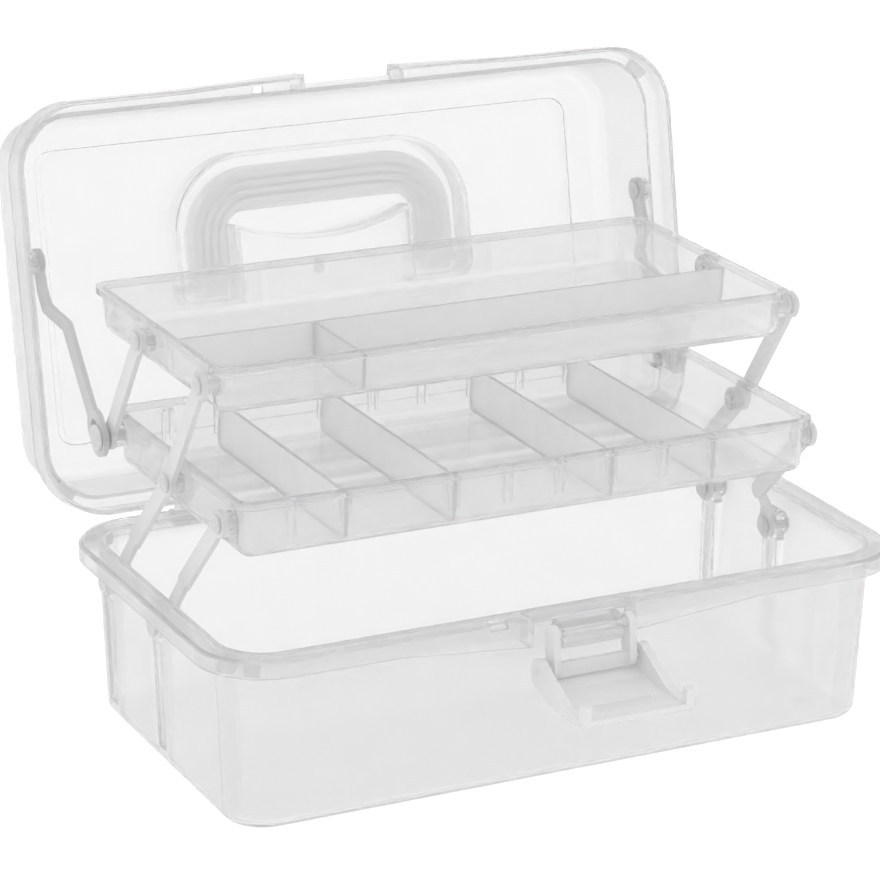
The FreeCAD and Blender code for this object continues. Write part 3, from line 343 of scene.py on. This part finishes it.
class Workbench:
    """Blender's own tools, as used by hand, on one mesh at a time."""

    @staticmethod
    def clear() -> None:
        """Leave edit mode and deselect everything."""
        if bpy.context.object is not None and bpy.context.object.mode != "OBJECT":
            bpy.ops.object.mode_set(mode="OBJECT")
        bpy.ops.object.select_all(action="DESELECT")

    @classmethod
    def begin(cls, name: str, add: Callable[..., Any], **settings: Any) -> bpy.types.Object:
        """Add a primitive as the only selected object.

        Args:
            name: name of the new piece.
            add: operator that adds the primitive.
            settings: the operator's own settings.

        Returns:
            The new object.
        """
        cls.clear()
        add(**settings)
        piece = bpy.context.object
        piece.name = name
        piece.data.name = name
        return piece

    @staticmethod
    def pick_faces(piece: bpy.types.Object, test: Callable[[bpy.types.MeshPolygon], bool]) -> None:
        """Select the faces that pass a test, and enter edit mode on them."""
        if bpy.context.object.mode != "OBJECT":
            bpy.ops.object.mode_set(mode="OBJECT")
        mesh = piece.data
        for part in (mesh.vertices, mesh.edges, mesh.polygons):
            part.foreach_set("select", [False] * len(part))
        for face in mesh.polygons:
            face.select = test(face)
        bpy.ops.object.mode_set(mode="EDIT")
        bpy.ops.mesh.select_mode(type="FACE")

    @staticmethod
    def settle() -> None:
        """Put a new primitive's place, turn and size into its mesh."""
        bpy.ops.object.transform_apply(location=True, rotation=True, scale=True)

    @staticmethod
    def edit_all() -> None:
        """Enter edit mode with everything selected."""
        bpy.ops.object.mode_set(mode="EDIT")
        bpy.ops.mesh.select_all(action="SELECT")

    @staticmethod
    def inset_steps(steps: InsetSteps, width: float, height: float) -> None:
        """Inset the selected faces again and again, and push each new face in or out.

        Args:
            steps: each inset's width and push, as shares of the two sizes.
            width: size that the insets are shares of.
            height: size that the pushes are shares of.
        """
        for across, push in steps:
            bpy.ops.mesh.inset(thickness=width * across, depth=height * push)

    @staticmethod
    def extrude(offset: Sequence[float]) -> None:
        """Extrude the selected faces along an offset."""
        bpy.ops.mesh.extrude_region_move(TRANSFORM_OT_translate={"value": tuple(offset)})

    @staticmethod
    def scale(factor: Sequence[float], centre: Sequence[float]) -> None:
        """Scale what is selected about a point."""
        bpy.ops.transform.resize(value=tuple(factor), center_override=tuple(centre))

    @staticmethod
    def bevel_edges(piece: bpy.types.Object, width: float, segments: int = 2, angle: float = 40.0) -> None:
        """Round the sharp edges with a Bevel modifier, and apply it."""
        bpy.ops.object.mode_set(mode="OBJECT")
        bevel = piece.modifiers.new("soft_edges", "BEVEL")
        bevel.width = width
        bevel.segments = segments
        bevel.limit_method = "ANGLE"
        bevel.angle_limit = math.radians(angle)
        bpy.ops.object.modifier_apply(modifier=bevel.name)

    @classmethod
    def smooth(cls, piece: bpy.types.Object, angle: float = 35.0) -> None:
        """Shade smooth up to an angle."""
        cls.clear()
        piece.select_set(True)
        bpy.context.view_layer.objects.active = piece
        bpy.ops.object.shade_smooth_by_angle(angle=math.radians(angle))

    @classmethod
    def copies(cls, first: bpy.types.Object, moves: Iterable[Matrix]) -> bpy.types.Object:
        """Copy a piece to several places and join the copies into it.

        Args:
            first: the piece, modelled at the origin.
            moves: one matrix for each place; the first one is the piece's own.

        Returns:
            The joined piece.
        """
        own, *further = moves
        others = []
        for move in further:
            other = first.copy()
            other.data = first.data.copy()
            bpy.context.scene.collection.objects.link(other)
            cls.place(other, move)
            others.append(other)
        cls.place(first, own)
        return cls.join(first, others)

    @classmethod
    def join(cls, first: bpy.types.Object, others: Sequence[bpy.types.Object]) -> bpy.types.Object:
        """Join other pieces into the first one."""
        cls.clear()
        for piece in (*others, first):
            piece.select_set(True)
        bpy.context.view_layer.objects.active = first
        if others:
            bpy.ops.object.join()
        return first

    @staticmethod
    def spin(angle: float, centre: Sequence[float], steps: int) -> None:
        """Spin what is selected about an upright axis, anticlockwise from above in degrees."""
        bpy.ops.mesh.spin(steps=steps, angle=-math.radians(angle), center=tuple(centre), axis=(0, 0, 1))

    @staticmethod
    def close_up() -> None:
        """Merge doubled points of a spun shape and turn its faces outwards."""
        bpy.ops.mesh.select_all(action="SELECT")
        bpy.ops.mesh.remove_doubles(threshold=1e-6)
        bpy.ops.mesh.normals_make_consistent(inside=False)

    @staticmethod
    def place(piece: bpy.types.Object, move: Matrix) -> None:
        """Move a piece's mesh, and turn its faces outwards again if the move mirrors it."""
        piece.data.transform(move)
        if move.determinant() < 0:
            piece.data.flip_normals()


@dataclass(frozen=True)
class LidHinge:
    """The lid's hinge line and opening, which turn a closed lid's piece to the open pose.

    Attributes:
        y: hinge line's Y in metres.
        z: hinge line's Z in metres.
        angle: opening in degrees.
    """

    y: float = 97.0 * MM
    z: float = 75.3 * MM
    angle: float = OPEN_ANGLE

    def opened(self) -> Matrix:
        """Matrix from the closed lid's place to the open pose."""
        line = Matrix.Translation((0, self.y, self.z))
        return line @ Matrix.Rotation(-math.radians(self.angle), 4, "X") @ line.inverted()


@dataclass(frozen=True)
class Rivet:
    """A snap rivet along X, in millimetres: head on the origin towards +X, shank towards -X.

    Attributes:
        steps: length and radius of each step of the shank, from the head on.
        head: radius of the head.
        thick: thickness of the head.
        dimple: depth of the dish in the head.
        dish: insets of the head's face in shares of its radius, pushed in shares of the dimple.
        round_over: width of the rounded edges.
        facets: number of sides that stand for the round.
    """

    steps: tuple[tuple[float, float], ...]
    head: float = 4.2
    thick: float = 1.2
    dimple: float = 0.45
    dish: InsetSteps = ((0.32, 0.0), (0.08, -1.0), (0.22, 0.0), (0.06, 0.7))
    round_over: float = 0.25
    facets: int = 36

    def build(self, name: str) -> bpy.types.Object:
        """Model the rivet: a disc, dished on top, with its shank drawn out below in steps."""
        head, thick, dimple = (size * MM for size in (self.head, self.thick, self.dimple))
        piece = Workbench.begin(
            name,
            bpy.ops.mesh.primitive_cylinder_add,
            vertices=self.facets,
            radius=head,
            depth=thick,
            location=(thick / 2, 0, 0),
            rotation=(0, math.pi / 2, 0),
        )
        Workbench.settle()
        Workbench.pick_faces(piece, lambda face: face.normal.x > FACING)
        Workbench.inset_steps(self.dish, head, dimple)
        Workbench.pick_faces(piece, lambda face: face.normal.x < -FACING)
        radius = head
        reach = 0.0
        for step_length, step_radius in self.steps:
            length, wanted = step_length * MM, step_radius * MM
            if wanted < radius:
                bpy.ops.mesh.inset(thickness=radius - wanted, depth=0.0)
            else:
                Workbench.extrude((0, 0, 0))
                Workbench.scale((1, wanted / radius, wanted / radius), (-reach, 0, 0))
            Workbench.extrude((-length, 0, 0))
            radius = wanted
            reach += length
        Workbench.bevel_edges(piece, self.round_over * MM)
        return piece

    @staticmethod
    def places(x: float, pivots: Iterable[Pivot], outward: int = 1) -> list[Matrix]:
        """Places of a rivet at pivots on both ends of the box.

        Args:
            x: distance of the head's underside from the middle.
            pivots: Y and Z of each pivot.
            outward: 1 where the head faces out of the box, -1 where it faces in.

        Returns:
            One matrix for each rivet.
        """
        return [
            Matrix.Translation((side.value * x * MM, y * MM, z * MM))
            @ Matrix.Diagonal((side.value * outward, 1, 1, 1))
            for side in Side
            for y, z in pivots
        ]


@dataclass(frozen=True)
class RimBlock:
    """Blocks that stiffen the rim's corners, between skirt and wall. Sizes in millimetres.

    Attributes:
        low: lowest Z.
        high: highest Z.
        width: how far a block goes round the corner, in degrees.
        centres: angles of the blocks in each corner, from X towards Y.
        corner: centre of the rim's rounded corner, in the quarter where X and Y are positive.
        inner: radius of a block's inner face.
        outer: radius of a block's outer face.
        spin_steps: number of flats round a block.
        round_over: width of the rounded edges.
    """

    low: float
    high: float
    width: float
    centres: tuple[float, ...]
    corner: Pivot = (134.5, 62.5)
    inner: float = 22.1
    outer: float = 28.4
    spin_steps: int = 6
    round_over: float = 0.3

    def build(self, name: str) -> bpy.types.Object:
        """Model one block, an upright plate spun about the corner's centre, and copy it to the corners.

        Args:
            name: name of the piece.

        Returns:
            All blocks of one rim, joined.
        """
        across = (self.outer - self.inner) * MM
        piece = Workbench.begin(
            name,
            bpy.ops.mesh.primitive_plane_add,
            size=1.0,
            location=(self.inner * MM + across / 2, 0, (self.low + self.high) / 2 * MM),
            rotation=(math.pi / 2, 0, 0),
        )
        piece.scale = (across, (self.high - self.low) * MM, 1)
        Workbench.settle()
        Workbench.edit_all()
        Workbench.spin(self.width, (0, 0, 0), self.spin_steps)
        Workbench.close_up()
        Workbench.bevel_edges(piece, self.round_over * MM)
        return Workbench.copies(piece, self._places())

    def _places(self) -> list[Matrix]:
        """Places of the blocks at the four corners."""
        found = []
        corner_x, corner_y = (place * MM for place in self.corner)
        for side_x in (-1, 1):
            for side_y in (-1, 1):
                corner = Matrix.Translation((side_x * corner_x, side_y * corner_y, 0))
                mirror = Matrix.Diagonal((side_x, side_y, 1, 1))
                for centre in self.centres:
                    turn = math.radians(centre - self.width / 2)
                    found.append(corner @ mirror @ Matrix.Rotation(turn, 4, "Z"))
        return found


@dataclass(frozen=True)
class GateMark:
    """The small stepped mark where a mould was filled. Sizes in millimetres.

    Attributes:
        radius: radius of the mark.
        height: height of its ring.
        rings: insets of its face in shares of the radius, pushed in shares of the height.
        round_over: width of the rounded edges.
        facets: number of sides that stand for the round.
    """

    radius: float = 2.8
    height: float = 0.5
    rings: InsetSteps = ((0.25, 0.0), (0.12, -0.6), (0.28, 0.0), (0.08, 0.7))
    round_over: float = 0.08
    facets: int = 28

    def build(self, name: str) -> bpy.types.Object:
        """Model the mark standing on the origin: a low disc with a raised ring and a nub."""
        piece = Workbench.begin(
            name,
            bpy.ops.mesh.primitive_cylinder_add,
            vertices=self.facets,
            radius=self.radius * MM,
            depth=self.height * MM,
            location=(0, 0, self.height / 2 * MM),
        )
        Workbench.settle()
        Workbench.pick_faces(piece, lambda face: face.normal.z > FACING)
        Workbench.inset_steps(self.rings, self.radius * MM, self.height * MM)
        Workbench.bevel_edges(piece, self.round_over * MM)
        return piece


Finishes = Mapping[MouldedPlastic, tuple[str, ...]]


@dataclass
class SubAssembly:
    """Pieces of the box that belong together: CAD nodes that get a finish, and new pieces.

    Attributes:
        body: body that the new pieces ride on.
        finishes: the CAD nodes that get each finish.
    """

    frame: Mapping[str, Any]
    body: ClassVar[str] = ""
    finishes: ClassVar[Finishes] = {}

    def dress(self) -> None:
        """Give each CAD node its finish."""
        for finish, nodes in self.finishes.items():
            for node in nodes:
                mesh = self.frame["nodes"][node].data
                mesh.materials.clear()
                mesh.materials.append(self.material(finish))
                LOG.info("%s is dressed in %s", node, finish.name)

    def build(self) -> None:
        """Build the new pieces; a sub-assembly without any keeps this."""

    @staticmethod
    def material(finish: MouldedPlastic) -> bpy.types.Material:
        """A finish's material, made once."""
        return bpy.data.materials.get(finish.name) or finish.make()

    def fit(self, piece: bpy.types.Object, slot: str, finish: MouldedPlastic, *nodes: str) -> None:
        """Finish a new piece and let it ride on the body.

        Args:
            piece: the new piece.
            slot: the record's material slot; not used.
            finish: the piece's finish.
            nodes: CAD nodes that it stands for.
        """
        Workbench.smooth(piece)
        piece.data.materials.clear()
        piece.data.materials.append(self.material(finish))
        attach(piece, self.body)
        if nodes:
            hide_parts(*nodes)
        LOG.info("%s rides on %s with %d faces", piece.name, self.body, len(piece.data.polygons))


@dataclass
class BaseBin(SubAssembly):
    """Open bin with its rim, pivots and floor. Sizes in millimetres.

    Attributes:
        rivet: the rivets that hold the arms.
        rivet_x: distance of their heads' undersides from the middle.
        pivots: Y and Z of the arms' pivots.
        corner: the blocks in the rim's corners.
        floor: height of the floor's top.
    """

    body: ClassVar[str] = "base"
    finishes: ClassVar[Finishes] = {SHELL: ("base_bin",), RIVET: ("hinge_pins", "base_pivot_pins")}
    rivet: Rivet = Rivet(((11.51, 2.2), (1.2, 4.2)))
    rivet_x: float = 157.21
    pivots: tuple[Pivot, ...] = ((58.5, 64.0), (2.5, 64.0))
    corner: RimBlock = RimBlock(73.0, 78.2, 14.0, (33.0, 57.0))
    floor: float = 2.2

    def build(self) -> None:
        """Build the base's rivets, corner blocks and gate mark."""
        places = Rivet.places(self.rivet_x, self.pivots)
        rivets = Workbench.copies(self.rivet.build("base_rivets"), places)
        self.fit(rivets, "pin_plastic", RIVET, "base_pivot_pins")
        self.fit(self.corner.build("base_rim_blocks"), "clear_shell", RIM_BLOCK)
        mark = GateMark().build("base_gate_mark")
        Workbench.place(mark, Matrix.Translation((0, 0, self.floor * MM)))
        self.fit(mark, "clear_shell", RIM_BLOCK)


@dataclass
class Lid(SubAssembly):
    """Hinged lid with its studs for the lid arms. Sizes in millimetres.

    Attributes:
        hinge: the lid's hinge line.
        stud: the rivets that hold the lid arms.
        stud_x: distance of their heads' undersides from the middle.
        open_pivot: Y and Z of the lid arms' pivot, in the open pose.
        corner: the blocks in the rim's corners, with the lid closed.
        inside: height of the lid's inner face, with the lid closed.
    """

    body: ClassVar[str] = "lid"
    finishes: ClassVar[Finishes] = {LID_SHELL: ("lid_shell",), RIVET: ("lid_arm_pins",)}
    hinge: LidHinge = LidHinge()
    stud: Rivet = Rivet(((5.27, 2.2),), thick=0.7, dimple=0.25)
    stud_x: float = 151.79
    open_pivot: Pivot = (143.0, 188.0)
    corner: RimBlock = RimBlock(89.0, 93.1, 20.0, (45.0,), inner=23.7)
    inside: float = 137.0

    def build(self) -> None:
        """Build the lid's studs, corner blocks and gate mark."""
        places = Rivet.places(self.stud_x, [self.open_pivot], -1)
        studs = Workbench.copies(self.stud.build("lid_rivets"), places)
        self.fit(studs, "pin_plastic", RIVET, "lid_arm_pins")
        blocks = self.corner.build("lid_rim_blocks")
        Workbench.place(blocks, self.hinge.opened())
        self.fit(blocks, "clear_shell", RIM_BLOCK)
        mark = GateMark().build("lid_gate_mark")
        downward = Matrix.Translation((0, 0, self.inside * MM)) @ Matrix.Rotation(math.pi, 4, "X")
        Workbench.place(mark, self.hinge.opened() @ downward)
        self.fit(mark, "clear_shell", RIM_BLOCK)


@dataclass
class CarryHandle(SubAssembly):
    """Carry handle with lengthwise grip ribs. Sizes in millimetres, with the lid closed.

    Attributes:
        hinge: the lid's hinge line.
        half: half the handle's width.
        front: Y of the grip's front edge.
        rear: Y where the ribs end on the legs.
        corner_radius: radius of the handle's outer corners.
        rib_insets: distance of each rib from the handle's outer edge.
        rib_radius: radius of a rib's section.
        rib_heights: Z of the ribs' axes, on the upper and the lower face.
        rib_sides: number of sides of a rib's section.
        spin_steps: number of flats round a corner.
    """

    body: ClassVar[str] = "handle"
    finishes: ClassVar[Finishes] = {GRIP: ("carry_handle",)}
    hinge: LidHinge = LidHinge()
    half: float = 67.5
    front: float = -52.0
    rear: float = -3.0
    corner_radius: float = 32.0
    rib_insets: tuple[float, ...] = (6.0, 10.0, 14.0)
    rib_radius: float = 0.6
    rib_heights: tuple[float, ...] = (137.45, 128.55)
    rib_sides: int = 10
    spin_steps: int = 10

    def rib(self, name: str, inset: float, height: float) -> bpy.types.Object:
        """Model one rib: a round section drawn along a leg, round the corner, along the grip and back.

        Args:
            name: name of the piece.
            inset: distance of the rib from the handle's outer edge.
            height: Z of the rib's axis.

        Returns:
            The rib.
        """
        centre_x = (self.half - self.corner_radius) * MM
        centre_y = (self.front + self.corner_radius) * MM
        leg = centre_y - self.rear * MM
        piece = Workbench.begin(
            name,
            bpy.ops.mesh.primitive_circle_add,
            vertices=self.rib_sides,
            radius=self.rib_radius * MM,
            fill_type="NGON",
            location=((self.half - inset) * MM, self.rear * MM, height * MM),
            rotation=(math.pi / 2, 0, 0),
        )
        Workbench.settle()
        Workbench.edit_all()
        Workbench.extrude((0, leg, 0))
        Workbench.spin(-90, (centre_x, centre_y, 0), self.spin_steps)
        Workbench.extrude((-2 * centre_x, 0, 0))
        Workbench.spin(-90, (-centre_x, centre_y, 0), self.spin_steps)
        Workbench.extrude((0, -leg, 0))
        Workbench.close_up()
        bpy.ops.object.mode_set(mode="OBJECT")
        return piece

    def build(self) -> None:
        """Build the ribs of both faces as one piece."""
        ribs = [
            self.rib("handle_grip_ribs", inset, height)
            for height in self.rib_heights
            for inset in self.rib_insets
        ]
        piece = Workbench.join(ribs[0], ribs[1:])
        Workbench.place(piece, self.hinge.opened())
        self.fit(piece, "handle_plastic", GRIP)


@dataclass
class Latch(SubAssembly):
    """Swinging link and finger lever at the front."""

    finishes: ClassVar[Finishes] = {LATCH: ("latch_link", "latch_lever")}


@dataclass
class LowerTray(SubAssembly):
    """Lower tray with its dividers and six rivets. Sizes in millimetres.

    Attributes:
        rivet: the rivets of the front and long arms.
        rivet_x: distance of their heads' undersides from the middle.
        pivots: Y and Z of those arms' pivots.
        long_rivet: the rivets that hold the rear arms and the lid arms.
        long_rivet_x: distance of their heads' undersides from the middle.
        long_pivot: Y and Z of those arms' pivot.
    """

    body: ClassVar[str] = "lower"
    finishes: ClassVar[Finishes] = {
        LOWER_TRAY: ("lower_tray",),
        CROSS_DIVIDER: tuple(f"lower_divider_{number}" for number in range(1, 5)),
        RIVET: ("lower_tray_pins",),
    }
    rivet: Rivet = Rivet(((9.45, 2.2),))
    rivet_x: float = 143.8
    pivots: tuple[Pivot, ...] = ((-36.5, 121.5), (19.5, 121.5))
    long_rivet: Rivet = Rivet(((3.1, 2.2), (1.2, 4.2), (9.45, 2.2)), head=6.0)
    long_rivet_x: float = 148.1
    long_pivot: Pivot = (87.0, 121.5)

    def build(self) -> None:
        """Build the tray's rivets; the long ones also carry the lid arms."""
        places = Rivet.places(self.rivet_x, self.pivots)
        plain = Workbench.copies(self.rivet.build("lower_tray_rivets"), places)
        places = Rivet.places(self.long_rivet_x, [self.long_pivot])
        long = Workbench.copies(self.long_rivet.build("lower_tray_long_rivets"), places)
        self.fit(Workbench.join(plain, [long]), "pin_plastic", RIVET, "lower_tray_pins")


@dataclass
class UpperTray(SubAssembly):
    """Upper tray with its two dividers and four rivets. Sizes in millimetres.

    Attributes:
        rivet: the rivets of the long and rear arms.
        rivet_x: distance of their heads' undersides from the middle.
        pivots: Y and Z of those arms' pivots.
    """

    body: ClassVar[str] = "upper"
    finishes: ClassVar[Finishes] = {
        UPPER_TRAY: ("upper_tray",),
        LONG_DIVIDER: ("upper_long_divider",),
        UPPER_DIVIDER: ("upper_cross_divider",),
        RIVET: ("upper_tray_pins",),
    }
    rivet: Rivet = Rivet(((9.45, 2.2),))
    rivet_x: float = 143.8
    pivots: tuple[Pivot, ...] = ((-17.0, 176.0), (50.5, 176.0))

    def build(self) -> None:
        """Build the tray's rivets."""
        places = Rivet.places(self.rivet_x, self.pivots)
        rivets = Workbench.copies(self.rivet.build("upper_tray_rivets"), places)
        self.fit(rivets, "pin_plastic", RIVET, "upper_tray_pins")


@dataclass
class FoldingArms(SubAssembly):
    """Folding arms of the trays and of the lid, at both ends."""

    finishes: ClassVar[Finishes] = {
        ARM: tuple(
            f"{arm}_{side.name.lower()}" for arm in ("long_arm", "front_arm", "rear_arm") for side in Side),
        LID_ARM: tuple(f"lid_arm_{side.name.lower()}" for side in Side),
    }


@dataclass
class Studio:
    """Camera, floor and light.

    Attributes:
        azimuth: camera's direction round the box, in degrees.
        elevation: camera's height above the horizon, in degrees.
        roll: camera's roll, in degrees.
        position: camera's place in metres.
        focal_pixels: focal length in pixels of the square picture.
        picture: width of the picture in pixels.
        sensor: width of the camera's sensor in millimetres.
        clip_start: nearest distance that the camera shows, in metres.
        floor_size: width of the floor in metres.
        floor_drop: how far the floor lies under the box, in metres.
        floor_grey: grey of the floor.
        floor_gloss: roughness of the floor.
        floor_glow: light that the floor gives by itself.
        sky: grey of the sky at the horizon, halfway up and overhead.
        wall_bounces: how often light may pass a wall.
        glossy_bounces: how often light may be mirrored.
        diffuse_bounces: how often light may be scattered.
    """

    azimuth: float = -26.611
    elevation: float = 18.892
    roll: float = 0.75
    position: Point = (-0.7107, -1.3734, 0.6556)
    focal_pixels: float = 3734.0
    picture: float = 880.0
    sensor: float = 36.0
    clip_start: float = 0.01
    floor_size: float = 8.0
    floor_drop: float = 0.0005
    floor_grey: float = 0.12
    floor_gloss: float = 0.9
    floor_glow: float = 0.91
    sky: tuple[float, float, float] = (0.85, 0.95, 1.0)
    wall_bounces: int = 28
    glossy_bounces: int = 8
    diffuse_bounces: int = 4

    def build(self) -> None:
        """Build camera, floor and light."""
        self.camera()
        self.floor()
        self.light()
        self.view()

    def camera(self) -> None:
        """Set the camera up at the photograph's angle."""
        turn, rise, tilt = (math.radians(angle) for angle in (self.azimuth, self.elevation, self.roll))
        back = Vector((math.sin(turn) * math.cos(rise), -math.cos(turn) * math.cos(rise), math.sin(rise)))
        right = Vector((0, 0, 1)).cross(back).normalized()
        up = back.cross(right)
        across = right * math.cos(tilt) + up * math.sin(tilt)
        upward = up * math.cos(tilt) - right * math.sin(tilt)
        data = bpy.data.cameras.new("camera")
        data.sensor_width = self.sensor
        data.lens = self.focal_pixels * self.sensor / self.picture
        data.clip_start = self.clip_start
        camera = bpy.data.objects.new("camera", data)
        bpy.context.scene.collection.objects.link(camera)
        axes = Matrix((across, upward, back)).transposed().to_4x4()
        camera.matrix_world = Matrix.Translation(self.position) @ axes
        bpy.context.scene.camera = camera

    def floor(self) -> None:
        """Lay a plain pale floor."""
        floor = Workbench.begin("floor", bpy.ops.mesh.primitive_plane_add, size=self.floor_size)
        material = bpy.data.materials.new("floor_white")
        material.use_nodes = True
        bench = ShaderBench(material.node_tree)
        surface = bench.add(
            "ShaderNodeBsdfPrincipled",
            None,
            {
                "Base Color": (self.floor_grey, self.floor_grey, self.floor_grey, 1.0),
                "Roughness": self.floor_gloss,
                "Emission Color": (1, 1, 1, 1),
                "Emission Strength": self.floor_glow,
            },
        )
        bench.add("ShaderNodeOutputMaterial", None, {"Surface": surface})
        floor.data.materials.append(material)
        floor.location.z = -self.floor_drop

    def light(self) -> None:
        """Light the scene with a soft white sky, brighter overhead."""
        world = bpy.data.worlds.new("soft_sky")
        bpy.context.scene.world = world
        world.use_nodes = True
        bench = ShaderBench(world.node_tree)
        direction = bench.add("ShaderNodeTexCoord", output="Generated")
        height = bench.add("ShaderNodeSeparateXYZ", None, {0: direction}, output="Z")
        stops = [(index / 2, (grey, grey, grey)) for index, grey in enumerate(self.sky)]
        shade = bench.add("ShaderNodeValToRGB", {"stops": stops}, {0: height})
        sky = bench.add("ShaderNodeBackground", None, {"Color": shade, "Strength": 1.0})
        bench.add("ShaderNodeOutputWorld", None, {"Surface": sky})

    def view(self) -> None:
        """Show plain colours, and let light pass the many walls."""
        scene = bpy.context.scene
        scene.view_settings.view_transform = "Standard"
        scene.cycles.max_bounces = self.wall_bounces
        scene.cycles.transmission_bounces = self.wall_bounces
        scene.cycles.blur_glossy = 0.0
        scene.cycles.glossy_bounces = self.glossy_bounces
        scene.cycles.diffuse_bounces = self.diffuse_bounces


SUB_ASSEMBLIES = (BaseBin, Lid, CarryHandle, Latch, LowerTray, UpperTray, FoldingArms)


def main() -> None:
    """Load the solids, dress them, build the pieces and the studio."""
    logging.basicConfig(level=logging.INFO, format="%(name)s: %(message)s")
    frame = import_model()
    for kind in SUB_ASSEMBLIES:
        part = kind(frame)
        part.dress()
        part.build()
    Studio().build()


if __name__ == "__main__":
    main()
